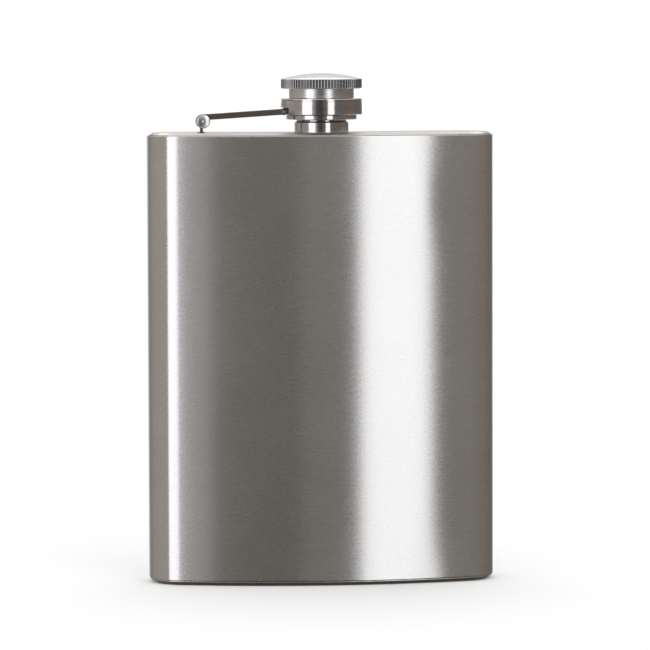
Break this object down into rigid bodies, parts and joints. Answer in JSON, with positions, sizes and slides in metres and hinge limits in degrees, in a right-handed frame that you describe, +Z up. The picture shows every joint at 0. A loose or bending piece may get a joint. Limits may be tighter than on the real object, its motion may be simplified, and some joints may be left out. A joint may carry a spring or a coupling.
{
  "type": "hip flask",
  "caption": "Brushed stainless hip flask with a curved kidney-shaped body and a knurled screw cap held captive on a hinged arm.",
  "frame": {"origin": "centre of the base, on the surface that the flask stands on", "axes": "+Z up along the neck, -Y out of the bulging front, +X to the right seen from the front"},
  "size_m": [0.095, 0.0261, 0.1393],
  "materials": {
    "brushed_steel": "satin",
    "polished_steel": "gloss",
    "gasket_rubber": "matte"
  },
  "bodies": {
    "root": {"body_shell": "brushed_steel", "top_plate": "brushed_steel", "bottom_plate": "brushed_steel", "neck": "polished_steel", "hinge_post": "polished_steel", "hinge_rivet": "polished_steel"},
    "arm": {"arm": "polished_steel", "collar_pin": "polished_steel"},
    "collar": {"collar": "polished_steel"},
    "cap": {"cap_head": "polished_steel", "cap_sleeve": "polished_steel", "cap_gasket": "gasket_rubber"}
  },
  "joints": [
    {"name": "arm_swing", "type": "hinge", "parent": "root", "child": "arm", "pos_m": [-0.0324, -0.0016, 0.1263], "axis": [0, -1, 0], "range_deg": [0, 178]},
    {"name": "collar_tilt", "type": "hinge", "parent": "arm", "child": "collar", "pos_m": [-0.0104, -0.0016, 0.12882], "axis": [0, -1, 0], "range_deg": [0, 6]},
    {"name": "cap_turn", "type": "hinge", "parent": "collar", "child": "cap", "pos_m": [0, -0.0016, 0.1312], "axis": [0, 0, 1], "continuous": true}
  ]
}
